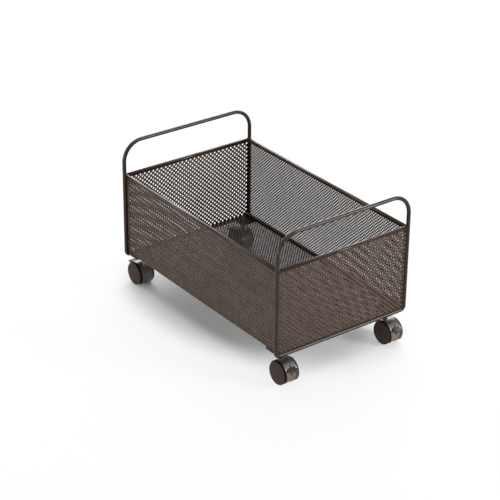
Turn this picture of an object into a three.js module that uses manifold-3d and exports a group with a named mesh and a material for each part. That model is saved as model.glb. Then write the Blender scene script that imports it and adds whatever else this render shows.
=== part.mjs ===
// A mesh basket cart: an open basket of pierced sheet between two bent-tube end loops, whose tops are the
// handles, on four hooded twin-wheel casters with brake levers.
// Millimetres, +Z up. X runs along the long side with the front at +X, Y along the short side with the left
// at -Y. The origin is on the floor, below the middle of the basket.

import * as THREE from 'three';
import { mergeGeometries, mergeVertices } from 'three/addons/utils/BufferGeometryUtils.js';
import Module from 'manifold-3d';

const wasm = await Module();
wasm.setup();

// Frame
const LENGTH = 480; // over the two end loops
const WIDTH = 300; // over the uprights
const HEIGHT = 300; // floor to the top of the handles
const RIM_BELOW_HANDLE = 66.25; // handle centre line down to the rim's centre line
const TUBE_D = 7.5;
const TUBE_SIDES = 12;
const HANDLE_BEND = 39; // centre line radius of the wide upper bends
const HANDLE_STEPS = 6;
const FOOT_STEPS = 4;
const RAIL_INSET = 2.5; // the top rails sit this far inside the uprights' centre lines

// Clearances
const GAP = 0.3; // between pieces that touch
const RUN = 0.1; // radial running clearance of a shaft in its hole

// Mesh panels
const SHEET_T = 1;
const NET_CELL = 47; // one cell has a hole at its centre and a quarter of one at each corner
const NET_HOLE = 0.354; // half diagonal of a hole, as a share of its cell
const NET_MARGIN = 3;
const WALL_LAP = 2; // the long walls reach this far below the bottom rails' centre lines

// Corner plates and nuts
const CASTER_HEIGHT = 64.75; // floor to the underside of the plates
const PLATE_T = 2;
const PLATE_LENGTH = 32.2; // along X, inward from the end loop
const PLATE_WIDTH = 39.6; // along Y
const PLATE_OVERHANG = 1.1; // beyond the long walls
const PLATE_CLIP = 5;
const LIP_T = 2; // of the plate's low lip below the long wall
const STEM_FROM_LOOP = 20.25; // stem axis to the loop's plane
const STEM_FROM_UPRIGHT = 26.25; // stem axis to the upright's centre line
const NUT_FLATS = 10;
const NUT_H = 6.45;

// Casters
const WHEEL_D = 44; // across the flats of the faceted rim
const WHEEL_SIDES = 24;
const CASTER_W = 33.5; // over the two wheels
const FLANGE_T = 2;
const GROOVE_W = 1.2;
const GROOVE_DEPTH = 2.5;
const RIM_BEVEL = 0.7;
const AXLE_D = 4;
const AXLE_END_WALL = 1.9; // of the wheel, beyond its blind bore
const TRAIL = 11; // stem axis to axle
const WEB_W = 7.4; // hood's web between the wheels
const WEB_BELOW_TREAD = 0.5;
const WEB_CLEAR_FLOOR = 3.5;
const HOOD_CLEAR = 0.6; // over the treads
const HOOD_WALL = 1;
const HOOD_SIDES = 24;
const HOOD_FROM = -30; // degrees, on the lever's side, up from level
const HOOD_TO = 232;
const BOSS_RISE = 0.3; // socket's flat top over the hood's crown
const STUD_D = 6;
const NECK_D = 9.6;
const PIVOT_D = 5;
const PIVOT_LENGTH = 15;
const ROUND_SIDES = 12;

// Brake levers, measured from the axle, on the lever's side
const BRAKE_PIN_D = 2.5;
const BRAKE_PIN_X = 3;
const BRAKE_PIN_Z = 10;
const LEVER_REACH = 32; // axle to the tip
const LEVER_RISE = 14; // axle up to the tip's upper edge
const LEVER_T = 2.8;
const LEVER_W = 16;
const TAB_CLEAR = 1; // tab's root outside the hood
const TAB_SLOPE = 0.6; // tab's upper face, up from tip to root
const TAB_BELLY = 0.6; // tab's lower face, down from tip to root
const SHOE_UPPER_IN = 4.6; // shoe's upper inner edge, in from the hood's front
const SHOE_UPPER_RISE = 0.5; // and up from the tab's tip
const SHOE_CREST_IN = 3; // shoe's highest edge, in from the hood's front
const SHOE_CREST_RISE = 0.9; // and up from the tab's tip
const SHOE_LOWER_IN = 1; // shoe's lower inner edge, in from the hood's front
const SHOE_LOWER_DROP = 1.6; // and down from the tab's lower edge
const ARM_T = 2;
const EYE_WALL = 1.35;
const SLOT_PLAY = 0.3; // each side of the arm in its slot
const SLOT_TOP = 18;
const SLOT_BOTTOM = 1;
const WINDOW_PLAY = 2.2; // each side of the shoe in the hood's window
const WINDOW_TOP = 15.8;
const WINDOW_CORNER = 3.2;
const STRIP_W = 3.4; // hood's edge strip beside the window

// Derived places
const TUBE_R = TUBE_D / 2;
const LOOP_X = LENGTH / 2 - TUBE_R;
const LOOP_Y = WIDTH / 2 - TUBE_R;
const HANDLE_Z = HEIGHT - TUBE_R;
const RIM_Z = HANDLE_Z - RIM_BELOW_HANDLE;
const PLATE_TOP = CASTER_HEIGHT + PLATE_T;
const BAR_Z = PLATE_TOP - TUBE_R;
const FOOT_BEND = TUBE_D + GAP; // the lower bends wrap the bottom rails
const BOTTOM_RAIL_Y = LOOP_Y - FOOT_BEND;
const BOTTOM_RAIL_Z = BAR_Z + FOOT_BEND;
const TOP_RAIL_Y = LOOP_Y - RAIL_INSET;
const WALL_INNER_Y = BOTTOM_RAIL_Y + TUBE_R + GAP;
const WALL_OUTER_Y = WALL_INNER_Y + SHEET_T;
const STEM_X = LOOP_X - STEM_FROM_LOOP;
const STEM_Y = LOOP_Y - STEM_FROM_UPRIGHT;
const WHEEL_R = WHEEL_D / 2;
const HOOD_R = WHEEL_R + HOOD_CLEAR + HOOD_WALL;
const HOOD_HALF = CASTER_W / 2 - FLANGE_T - GROOVE_W;
const WINDOW_HALF = HOOD_HALF - STRIP_W;
const BOSS_TOP = HOOD_R + BOSS_RISE; // above the axle

// Colours, from the photograph
const BRONZE = { color: 0x4a4039, roughness: 0.45, metalness: 0.35 };
const SHEET = { color: 0x51473f, roughness: 0.5, metalness: 0.35 };
const STEEL = { color: 0x8a8a88, roughness: 0.35, metalness: 0.9 };
const HOOD = { color: 0x34302d, roughness: 0.35, metalness: 0 };
const WHEEL = { color: 0x3a302b, roughness: 0.6, metalness: 0 };

// Joining and cutting

function bareGeometry(geometry) {
  const bare = geometry.clone();
  bare.deleteAttribute('normal');
  bare.deleteAttribute('uv');
  const merged = mergeVertices(bare, 1e-4);
  const index = merged.index.array;
  const kept = [];
  for (let i = 0; i < index.length; i += 3) {
    const [a, b, c] = [index[i], index[i + 1], index[i + 2]];
    if (a !== b && b !== c && c !== a) kept.push(a, b, c);
  }
  merged.setIndex(kept);
  return merged;
}

function toSolid(geometry) {
  const bare = bareGeometry(geometry);
  const vertProperties = Float32Array.from(bare.attributes.position.array);
  const triVerts = Uint32Array.from(bare.index.array);
  return new wasm.Manifold(new wasm.Mesh({ numProp: 3, vertProperties, triVerts }));
}

function toGeometry(body) {
  const { vertProperties, triVerts } = body.getMesh();
  const geometry = new THREE.BufferGeometry();
  geometry.setAttribute('position', new THREE.BufferAttribute(Float32Array.from(vertProperties), 3));
  geometry.setIndex(new THREE.BufferAttribute(Uint32Array.from(triVerts), 1));
  geometry.computeVertexNormals();
  return geometry;
}

function join(...geometries) {
  return toGeometry(geometries.map(toSolid).reduce((whole, part) => whole.add(part)));
}

function cut(geometry, ...tools) {
  return toGeometry(tools.map(toSolid).reduce((whole, tool) => whole.subtract(tool), toSolid(geometry)));
}

// Basic shapes

function ring(radius, sides) {
  const points = [];
  for (let i = 0; i < sides; i += 1) {
    const angle = (2 * Math.PI * i) / sides;
    points.push(new THREE.Vector2(radius * Math.cos(angle), radius * Math.sin(angle)));
  }
  return points;
}

// Corner radius of a faceted hole that leaves the running clearance round a shaft
function holeRadius(shaftD, sides) {
  return (shaftD / 2 + RUN) / Math.cos(Math.PI / sides);
}

function slab(shape, depth) {
  return new THREE.ExtrudeGeometry(shape, { depth, bevelEnabled: false });
}

// A prism along Y whose outline is given in X and Z
function prismY(points, half) {
  return slab(new THREE.Shape(points), 2 * half).rotateX(Math.PI / 2).translate(0, half, 0);
}

function rodY(radius, half, sides) {
  return new THREE.CylinderGeometry(radius, radius, 2 * half, sides);
}

function rodX(radius, half, sides) {
  return rodY(radius, half, sides).rotateZ(Math.PI / 2);
}

function rodZ(radius, low, high, sides) {
  return rodY(radius, (high - low) / 2, sides).rotateX(Math.PI / 2).translate(0, 0, (low + high) / 2);
}

function box(low, high) {
  const size = high.map((value, i) => value - low[i]);
  const middle = high.map((value, i) => (value + low[i]) / 2);
  return new THREE.BoxGeometry(...size).translate(...middle);
}

// The two ends' and two sides' signs, with their names
const ENDS = [['front', 1], ['back', -1]];
const SIDES = [['left', -1], ['right', 1]];

const cart = new THREE.Group();

function add(group, name, geometry, finish) {
  const mesh = new THREE.Mesh(geometry, new THREE.MeshStandardMaterial(finish));
  mesh.name = name;
  group.add(mesh);
  return mesh;
}

// End loops: each is swept in two halves that meet in the uprights, with a station at each end of every
// straight and at even steps round every bend

class StationPath extends THREE.Curve {
  constructor(stations) {
    super();
    this.stations = stations;
  }

  station(u) {
    return this.stations[Math.round(u * (this.stations.length - 1))];
  }

  getPoint(u, target = new THREE.Vector3()) {
    return target.copy(this.station(u).point);
  }

  getPointAt(u, target = new THREE.Vector3()) {
    return this.getPoint(u, target);
  }

  getTangentAt(u, target = new THREE.Vector3()) {
    return target.copy(this.station(u).tangent);
  }
}

// Stations of a U with its bar at height barZ and its legs ending at height legZ
function halfLoop(barZ, legZ, bend, steps) {
  const up = Math.sign(barZ - legZ);
  const stations = [];
  const put = (y, z, ty, tz) => {
    stations.push({ point: new THREE.Vector3(0, y, z), tangent: new THREE.Vector3(0, ty, tz) });
  };
  put(-LOOP_Y, legZ, 0, up);
  for (let i = 0; i <= steps; i += 1) {
    const angle = (Math.PI / 2) * (i / steps);
    const y = -LOOP_Y + bend * (1 - Math.cos(angle));
    const z = barZ - up * bend * (1 - Math.sin(angle));
    put(y, z, Math.sin(angle), up * Math.cos(angle));
  }
  for (let i = steps; i >= 0; i -= 1) {
    const angle = (Math.PI / 2) * (i / steps);
    const y = LOOP_Y - bend * (1 - Math.cos(angle));
    const z = barZ - up * bend * (1 - Math.sin(angle));
    put(y, z, Math.sin(angle), -up * Math.cos(angle));
  }
  put(LOOP_Y, legZ, 0, -up);
  const extrudePath = new StationPath(stations);
  const section = new THREE.Shape(ring(TUBE_R, TUBE_SIDES));
  return new THREE.ExtrudeGeometry(section, { steps: stations.length - 1, extrudePath });
}

const meetZ = (BAR_Z + HANDLE_Z) / 2;
for (const [end, ex] of ENDS) {
  const upper = halfLoop(HANDLE_Z, meetZ, HANDLE_BEND, HANDLE_STEPS);
  const lower = halfLoop(BAR_Z, meetZ, FOOT_BEND, FOOT_STEPS);
  add(cart, `${end}_end_loop`, join(upper, lower), BRONZE).position.x = ex * LOOP_X;
}

// Rim: crossbars fitted to the uprights, and top rails fitted to the uprights and the crossbars' line

const copeR = TUBE_R + GAP;
for (const [end, ex] of ENDS) {
  const uprights = SIDES.map(([, sy]) => (
    rodZ(copeR, -HEIGHT, HEIGHT, TUBE_SIDES).translate(0, sy * LOOP_Y, 0)
  ));
  const bar = cut(rodY(TUBE_R, LOOP_Y, TUBE_SIDES), ...uprights);
  add(cart, `${end}_crossbar`, bar, BRONZE).position.set(ex * LOOP_X, 0, RIM_Z);
}
for (const [side, sy] of SIDES) {
  const neighbours = ENDS.flatMap(([, ex]) => [
    rodZ(copeR, -HEIGHT, HEIGHT, TUBE_SIDES).translate(ex * LOOP_X, sy * RAIL_INSET, 0),
    rodY(copeR, WIDTH, TUBE_SIDES).translate(ex * LOOP_X, 0, 0),
  ]);
  const rail = cut(rodX(TUBE_R, LOOP_X, TUBE_SIDES), ...neighbours);
  add(cart, `${side}_top_rail`, rail, BRONZE).position.set(0, sy * TOP_RAIL_Y, RIM_Z);
}

// Bottom rails lie in the loops' lower bends, between the end panels

const insideEndPanels = LOOP_X - SHEET_T / 2 - GAP;
for (const [side, sy] of SIDES) {
  const rail = rodX(TUBE_R, insideEndPanels, TUBE_SIDES);
  add(cart, `${side}_bottom_rail`, rail, BRONZE).position.set(0, sy * BOTTOM_RAIL_Y, BOTTOM_RAIL_Z);
}

// Mesh panels: staggered diamond holes in a sheet, with plain margins

// A diamond prism that cuts one hole through the sheet
function diamond(x, y, halfX, halfY) {
  const shape = new THREE.Shape([
    new THREE.Vector2(x + halfX, y),
    new THREE.Vector2(x, y + halfY),
    new THREE.Vector2(x - halfX, y),
    new THREE.Vector2(x, y - halfY),
  ]);
  return slab(shape, 2 * SHEET_T).translate(0, 0, -SHEET_T);
}

// A panel centred on its own origin, with its two lower corners rounded by footR where that is given
function netPanel(width, height, footR = 0) {
  const [x, y] = [width / 2, height / 2];
  const outline = new THREE.Shape();
  outline.moveTo(x, y).lineTo(-x, y);
  if (footR > 0) {
    outline.absarc(-x + footR, -y + footR, footR, Math.PI, 1.5 * Math.PI, false);
    outline.absarc(x - footR, -y + footR, footR, -0.5 * Math.PI, 0, false);
  } else {
    outline.lineTo(-x, -y).lineTo(x, -y);
  }
  const columns = Math.round((width - 2 * NET_MARGIN) / NET_CELL);
  const rows = Math.round((height - 2 * NET_MARGIN) / NET_CELL);
  const cellX = (width - 2 * NET_MARGIN) / columns;
  const cellY = (height - 2 * NET_MARGIN) / rows;
  const holes = [];
  const hole = (column, row) => {
    const cx = (column - columns / 2) * cellX;
    const cy = (row - rows / 2) * cellY;
    holes.push(diamond(cx, cy, NET_HOLE * cellX, NET_HOLE * cellY));
  };
  for (let column = 0; column < columns; column += 1) {
    for (let row = 0; row < rows; row += 1) {
      hole(column + 0.5, row + 0.5);
      if (column > 0 && row > 0) hole(column, row);
    }
  }
  const depth = SHEET_T;
  const sheet = new THREE.ExtrudeGeometry(outline, { depth, bevelEnabled: false, curveSegments: 2 });
  return cut(sheet.translate(0, 0, -SHEET_T / 2), mergeGeometries(holes));
}

const panelTop = RIM_Z - TUBE_R - GAP;
const barTop = BAR_Z + TUBE_R + GAP;

const endHalfWidth = LOOP_Y - TUBE_R - GAP;
for (const [end, ex] of ENDS) {
  const panel = add(cart, `${end}_mesh`, netPanel(2 * endHalfWidth, panelTop - barTop, TUBE_R), SHEET);
  panel.rotation.set(Math.PI / 2, 0, Math.PI / 2, 'ZYX');
  panel.position.set(ex * LOOP_X, 0, (panelTop + barTop) / 2);
}

// The long walls stop short of the uprights' round sides
const wallHalfLength = LOOP_X - Math.sqrt(copeR ** 2 - (LOOP_Y - WALL_OUTER_Y) ** 2);
const wallBottom = BOTTOM_RAIL_Z - WALL_LAP;
for (const [side, sy] of SIDES) {
  const panel = add(cart, `${side}_mesh`, netPanel(2 * wallHalfLength, panelTop - wallBottom), SHEET);
  panel.rotation.x = Math.PI / 2;
  panel.position.set(0, (sy * (WALL_INNER_Y + WALL_OUTER_Y)) / 2, (panelTop + wallBottom) / 2);
}

const floorHalfWidth = BOTTOM_RAIL_Y - TUBE_R - GAP;
const floorPanel = add(cart, 'floor_mesh', netPanel(2 * insideEndPanels, 2 * floorHalfWidth), SHEET);
floorPanel.position.z = barTop + SHEET_T / 2;

// Corner plates, drilled for the stems, with weld nuts below

const plateOuterX = LOOP_X - TUBE_R - GAP;
const plateOuterY = WALL_OUTER_Y + PLATE_OVERHANG;

function studHole(x, y) {
  const points = ring(STUD_D / 2 + GAP, ROUND_SIDES);
  return new THREE.Path(points.map((point) => new THREE.Vector2(point.x + x, point.y + y)));
}

// A plate for the corner with these signs, its origin at its outer corner, with a low lip on its outer side
function cornerPlate(ex, sy) {
  const point = (x, y) => new THREE.Vector2(ex * x, sy * y);
  const shape = new THREE.Shape([
    point(0, 0),
    point(-PLATE_LENGTH + PLATE_CLIP, 0),
    point(-PLATE_LENGTH, -PLATE_CLIP),
    point(-PLATE_LENGTH, -PLATE_WIDTH + PLATE_CLIP),
    point(-PLATE_LENGTH + PLATE_CLIP, -PLATE_WIDTH),
    point(0, -PLATE_WIDTH),
  ]);
  shape.holes.push(studHole(ex * (STEM_X - plateOuterX), sy * (STEM_Y - plateOuterY)));
  const [length, height] = [PLATE_LENGTH - PLATE_CLIP, wallBottom - GAP - CASTER_HEIGHT];
  const lip = new THREE.BoxGeometry(length, LIP_T, height);
  return join(slab(shape, PLATE_T), lip.translate((-ex * length) / 2, (-sy * LIP_T) / 2, height / 2));
}

function weldNut() {
  const shape = new THREE.Shape(ring(NUT_FLATS / Math.sqrt(3), 6));
  shape.holes.push(studHole(0, 0));
  return slab(shape, NUT_H);
}

// Caster pieces, about the axle, with the lever towards +X and the stem at -X

function arc(radius, from, to, sides) {
  const steps = Math.round((sides * (to - from)) / 360);
  const points = [];
  for (let i = 0; i <= steps; i += 1) {
    const angle = THREE.MathUtils.degToRad(from + ((to - from) * i) / steps);
    points.push(new THREE.Vector2(radius * Math.cos(angle), radius * Math.sin(angle)));
  }
  return points;
}

// Outline in Y and Z of the hood's window, with rounded upper corners, cut through along X
function windowCutter() {
  const shape = new THREE.Shape();
  const [half, top, corner] = [WINDOW_HALF, WINDOW_TOP, WINDOW_CORNER];
  shape.moveTo(-half, -2 * WHEEL_R).lineTo(half, -2 * WHEEL_R);
  shape.absarc(half - corner, top - corner, corner, 0, 0.5 * Math.PI, false);
  shape.absarc(-half + corner, top - corner, corner, 0.5 * Math.PI, Math.PI, false);
  const depth = 2 * WHEEL_R;
  const geometry = new THREE.ExtrudeGeometry(shape, { depth, bevelEnabled: false, curveSegments: 3 });
  return geometry.rotateX(Math.PI / 2).rotateZ(Math.PI / 2).translate(AXLE_D, 0, 0);
}

function hoodGeometry() {
  const sector = prismY([...arc(HOOD_R, HOOD_FROM, HOOD_TO, HOOD_SIDES), new THREE.Vector2(0, 0)], HOOD_HALF);
  const boss = rodZ(NECK_D / 2, 0, BOSS_TOP, ROUND_SIDES).translate(-TRAIL, 0, 0);
  const wheelRoom = [-1, 1].map((sign) => {
    const half = CASTER_W / 2;
    return rodY(WHEEL_R + HOOD_CLEAR, half, HOOD_SIDES).translate(0, sign * (WEB_W / 2 + half), 0);
  });
  const shell = cut(join(sector, boss), ...wheelRoom, windowCutter());
  const webR = WHEEL_R - WEB_BELOW_TREAD;
  const belowWeb = box([-WHEEL_R, -WEB_W, -2 * WHEEL_R], [WHEEL_R, WEB_W, WEB_CLEAR_FLOOR - WHEEL_R]);
  const web = cut(rodY(webR, WEB_W / 2, HOOD_SIDES), belowWeb);
  const slotHalf = ARM_T / 2 + SLOT_PLAY;
  const eyeRoom = BRAKE_PIN_D / 2 + RUN + EYE_WALL + 2 * SLOT_PLAY;
  const slotFrom = BRAKE_PIN_X + eyeRoom;
  return cut(
    join(shell, web),
    rodY(holeRadius(AXLE_D, ROUND_SIDES), WEB_W, ROUND_SIDES),
    rodY(holeRadius(BRAKE_PIN_D, ROUND_SIDES), WEB_W, ROUND_SIDES).translate(BRAKE_PIN_X, 0, BRAKE_PIN_Z),
    rodZ(holeRadius(PIVOT_D, ROUND_SIDES), BOSS_TOP - PIVOT_LENGTH, BOSS_TOP + PIVOT_LENGTH, ROUND_SIDES)
      .translate(-TRAIL, 0, 0),
    box([slotFrom - RUN, -slotHalf, SLOT_BOTTOM], [2 * WHEEL_R, slotHalf, SLOT_TOP]),
    box(
      [BRAKE_PIN_X - eyeRoom, -slotHalf, BRAKE_PIN_Z - eyeRoom],
      [slotFrom, slotHalf, BRAKE_PIN_Z + eyeRoom],
    ),
  );
}

// One wheel, on the +Y side of the web, open to the axle from the web's side
function wheelGeometry() {
  const corner = WHEEL_R / Math.cos(Math.PI / WHEEL_SIDES);
  const inner = WEB_W / 2 + GAP;
  const outer = CASTER_W / 2;
  const flange = outer - FLANGE_T;
  const boreR = holeRadius(AXLE_D, WHEEL_SIDES);
  const boreEnd = outer - AXLE_END_WALL;
  const profile = [
    [0, boreEnd],
    [boreR, boreEnd],
    [boreR, inner],
    [corner, inner],
    [corner, flange - GROOVE_W],
    [corner - GROOVE_DEPTH, flange - GROOVE_W],
    [corner - GROOVE_DEPTH, flange],
    [corner, flange],
    [corner, outer - RIM_BEVEL],
    [corner - RIM_BEVEL, outer],
    [0, outer],
  ].map(([r, y]) => new THREE.Vector2(r, y));
  return bareGeometry(new THREE.LatheGeometry(profile, WHEEL_SIDES, Math.PI / WHEEL_SIDES));
}

function stemGeometry() {
  const neckLow = BOSS_TOP + WHEEL_R + GAP;
  const neckHigh = CASTER_HEIGHT - GAP - NUT_H - GAP;
  const profile = [
    [0, neckLow - PIVOT_LENGTH + GAP],
    [PIVOT_D / 2, neckLow - PIVOT_LENGTH + GAP],
    [PIVOT_D / 2, neckLow],
    [NECK_D / 2, neckLow],
    [NECK_D / 2, neckHigh],
    [STUD_D / 2, neckHigh],
    [STUD_D / 2, PLATE_TOP],
    [0, PLATE_TOP],
  ].map(([r, z]) => new THREE.Vector2(r, z));
  return bareGeometry(new THREE.LatheGeometry(profile, ROUND_SIDES).rotateX(Math.PI / 2));
}

// Lever at its free position: a tab outside the hood, a shoe in the window, and an arm with an eye
function leverGeometry() {
  const point = (x, z) => new THREE.Vector2(x, z);
  const tipLow = LEVER_RISE - LEVER_T;
  const tabX = HOOD_R + TAB_CLEAR;
  const crest = point(HOOD_R - SHOE_CREST_IN, LEVER_RISE + SHOE_CREST_RISE);
  const lowerEdge = point(HOOD_R - SHOE_LOWER_IN, tipLow - SHOE_LOWER_DROP);
  const tab = [
    point(tabX, tipLow - TAB_BELLY),
    point(LEVER_REACH, tipLow),
    point(LEVER_REACH, LEVER_RISE),
    point(tabX, LEVER_RISE + TAB_SLOPE),
  ];
  const shoe = [
    point(HOOD_R - SHOE_UPPER_IN, LEVER_RISE + SHOE_UPPER_RISE),
    lowerEdge,
    point(tabX, tipLow - TAB_BELLY),
    point(tabX + TAB_CLEAR, LEVER_RISE),
    point(tabX, LEVER_RISE + TAB_SLOPE),
    crest,
  ];
  const eyeR = BRAKE_PIN_D / 2 + RUN + EYE_WALL;
  const arm = [
    point(BRAKE_PIN_X, BRAKE_PIN_Z - eyeR),
    point(lowerEdge.x, lowerEdge.y + TAB_BELLY),
    point(crest.x, crest.y - TAB_BELLY),
    point(BRAKE_PIN_X, BRAKE_PIN_Z + eyeR),
  ];
  const whole = join(
    prismY(tab, LEVER_W / 2),
    prismY(shoe, WINDOW_HALF - WINDOW_PLAY),
    prismY(arm, ARM_T / 2),
    rodY(eyeR, ARM_T / 2, ROUND_SIDES).translate(BRAKE_PIN_X, 0, BRAKE_PIN_Z),
  );
  const pinHole = rodY(holeRadius(BRAKE_PIN_D, ROUND_SIDES), ARM_T, ROUND_SIDES);
  return cut(whole, pinHole.translate(BRAKE_PIN_X, 0, BRAKE_PIN_Z));
}

const hood = hoodGeometry();
const wheel = wheelGeometry();
const stem = stemGeometry();
const lever = leverGeometry();
const axle = rodY(AXLE_D / 2, CASTER_W / 2 - AXLE_END_WALL - GAP, ROUND_SIDES);
const leverPin = rodY(BRAKE_PIN_D / 2, WEB_W / 2 - RUN, ROUND_SIDES);

for (const [end, ex] of ENDS) {
  for (const [side, sy] of SIDES) {
    const corner = `${end}_${side}`;
    const plate = add(cart, `${corner}_plate`, cornerPlate(ex, sy), BRONZE);
    plate.position.set(ex * plateOuterX, sy * plateOuterY, CASTER_HEIGHT);
    const nut = add(cart, `${corner}_nut`, weldNut(), STEEL);
    nut.position.set(ex * STEM_X, sy * STEM_Y, CASTER_HEIGHT - GAP - NUT_H);
    add(cart, `${corner}_stem`, stem.clone(), STEEL).position.set(ex * STEM_X, sy * STEM_Y, 0);

    // The levers face outward at both ends, so the back pair is turned half round
    const caster = new THREE.Group();
    caster.position.set(ex * (STEM_X + TRAIL), sy * STEM_Y, WHEEL_R);
    caster.rotation.z = ex > 0 ? 0 : Math.PI;
    cart.add(caster);
    add(caster, `${corner}_hood`, hood.clone(), HOOD);
    add(caster, `${corner}_axle`, axle.clone(), STEEL);
    const outerWheel = add(caster, `${corner}_outer_wheel`, wheel.clone(), WHEEL);
    const innerWheel = add(caster, `${corner}_inner_wheel`, wheel.clone(), WHEEL);
    const turned = ex * sy > 0 ? innerWheel : outerWheel;
    turned.rotation.z = Math.PI;
    add(caster, `${corner}_lever`, lever.clone(), HOOD);
    add(caster, `${corner}_lever_pin`, leverPin.clone(), STEEL).position.set(BRAKE_PIN_X, 0, BRAKE_PIN_Z);
  }
}

export default cart;
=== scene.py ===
"""Looks of a mesh basket cart: bent-tube frame, pierced-sheet walls and four hooded twin-wheel casters.

Metres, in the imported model's frame: +Z up, the front at +X, the left side at -Y, the floor at Z = 0.
"""

import math

import bmesh
import bpy
from mathutils import Matrix, Vector


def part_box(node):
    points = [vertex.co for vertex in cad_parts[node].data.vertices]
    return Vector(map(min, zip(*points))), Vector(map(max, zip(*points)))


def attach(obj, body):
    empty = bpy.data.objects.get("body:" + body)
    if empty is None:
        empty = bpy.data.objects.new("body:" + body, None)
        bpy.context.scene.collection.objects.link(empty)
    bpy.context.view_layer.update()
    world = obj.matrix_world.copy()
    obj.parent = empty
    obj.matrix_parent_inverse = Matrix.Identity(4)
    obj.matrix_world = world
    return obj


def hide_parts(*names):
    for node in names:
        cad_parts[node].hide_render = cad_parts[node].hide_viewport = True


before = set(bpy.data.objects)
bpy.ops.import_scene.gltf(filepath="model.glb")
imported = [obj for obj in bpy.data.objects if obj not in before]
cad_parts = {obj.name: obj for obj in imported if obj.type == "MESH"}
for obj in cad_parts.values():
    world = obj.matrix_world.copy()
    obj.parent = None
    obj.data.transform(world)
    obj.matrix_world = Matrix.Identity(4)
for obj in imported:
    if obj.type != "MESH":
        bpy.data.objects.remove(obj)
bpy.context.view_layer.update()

MM = 0.001
ENDS = (("front", 1), ("back", -1))
SIDES = (("left", -1), ("right", 1))


def middle(node):
    low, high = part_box(node)
    return (low + high) / 2


# Places read from the frame
LOOP_LOW, LOOP_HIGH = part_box("front_end_loop")
TUBE_R = (LOOP_HIGH.x - LOOP_LOW.x) / 2
LOOP_X = (LOOP_HIGH.x + LOOP_LOW.x) / 2
LOOP_Y = LOOP_HIGH.y - TUBE_R
HANDLE_Z = LOOP_HIGH.z - TUBE_R
BAR_Z = LOOP_LOW.z + TUBE_R
RIM_Z = middle("front_crossbar").z
BOTTOM_RAIL = middle("right_bottom_rail")
TOP_RAIL_Y = middle("right_top_rail").y

# Tubes
HANDLE_BEND = 39 * MM
FOOT_BEND = LOOP_Y - BOTTOM_RAIL.y
TUBE_SIDES = 32
HANDLE_STEPS = 24
FOOT_STEPS = 10
WELD_R = 0.65 * MM
WELD_STEPS = 48
WELD_SIDES = 8

# Mesh panels
NET_T = 0.9 * MM
END_CELL = (9.6 * MM, 9.2 * MM)
END_HOLE = 2.3 * MM  # half diagonal of a hole at its narrowest
SIDE_CELL = (6.8 * MM, 6.45 * MM)  # the long walls and the floor have a finer mesh than the end walls
SIDE_HOLE = 1.78 * MM
FLOOR_HOLE = 1.55 * MM
NET_ROUND = 0.22 * MM  # how much wider the hole is at the sheet's faces
NET_EDGE = 1.2 * MM  # plain edge outside the last holes
NET_STRIP = 5.5 * MM  # wider plain strip at the long walls' ends
TUCK = 0.7 * MM  # how far a panel's edge goes into the tube that holds it
FLOOR_TUCK = 1.9 * MM  # the floor reaches under the round bottom rails
EDGE_SHADE = 5 * MM  # strip beside the tubes where a wall's inner face gets painted shade
FLAT = 0.5  # share of a face's normal along the panel's own, above which it lies on a flat side

# Casters, about the axle, with the lever towards +X and the stem at -X
AXLE = middle("front_left_axle")
STEM = middle("front_left_stem")
PIN = middle("front_left_lever_pin")
WHEEL_R = AXLE.z
TRAIL = AXLE.x - STEM.x
PIN_X = PIN.x - AXLE.x
PIN_Z = PIN.z - AXLE.z
CASTER_HALF = AXLE.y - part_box("front_left_outer_wheel")[0].y
WHEEL_INNER = AXLE.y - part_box("front_left_outer_wheel")[1].y
HOOD_HALF = AXLE.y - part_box("front_left_hood")[0].y
BOSS_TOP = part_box("front_left_hood")[1].z - AXLE.z
FLANGE_T = 2 * MM
GROOVE_W = 1.2 * MM
GROOVE_DEPTH = 2.5 * MM
RIM_ROUND = 0.9 * MM
TREAD_ROUND = 0.5 * MM
BORE_R = 2.1 * MM
BORE_END = 1.9 * MM
GROOVE_ROUND = 0.25 * MM
HOOD_R = WHEEL_R + 1.6 * MM
HOOD_WALL = 1 * MM
HOOD_FROM = -30  # degrees, on the lever's side, up from level
HOOD_TO = 232
HOOD_STEP = 2.5
WEB_HALF = WHEEL_INNER - 0.3 * MM
WEB_R = WHEEL_R - 0.5 * MM
WEB_LOW = 3.5 * MM - WHEEL_R
BOSS_R = 4.8 * MM
PIVOT_R = 2.5 * MM
PIVOT_LENGTH = 14.7 * MM
RUN = 0.1 * MM
WINDOW_HALF = HOOD_HALF - 3.4 * MM
WINDOW_TOP = 15.8 * MM
WINDOW_CORNER = 3.2 * MM
SHADOW_BAND = 1.5 * MM  # painted shade on the edge of hood and tread beside the disc's groove
SLOT_HALF = 1.3 * MM
SLOT_TOP = 18 * MM
SLOT_LOW = 1 * MM
EYE_ROOM = 3.3 * MM
AXLE_R = 2 * MM
AXLE_HALF = AXLE.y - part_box("front_left_axle")[0].y
AXLE_CHAMFER = 0.3 * MM
PIN_R = 1.25 * MM
PIN_HALF = PIN.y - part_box("front_left_lever_pin")[0].y
PIN_CHAMFER = 0.2 * MM
STUD_R = 3 * MM
STUD_HOLE_R = 3.3 * MM  # in nut and plate
STEM_ROUND = 0.5 * MM
NECK_GAP = 0.3 * MM  # between the stem's neck and the nut
NUT_SIDES = 6
NUT_DROP = 0.8 * MM  # how far the nut's corners are turned down
NUT_FACE = 0.2 * MM  # how far its round faces end inside the flats

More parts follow.
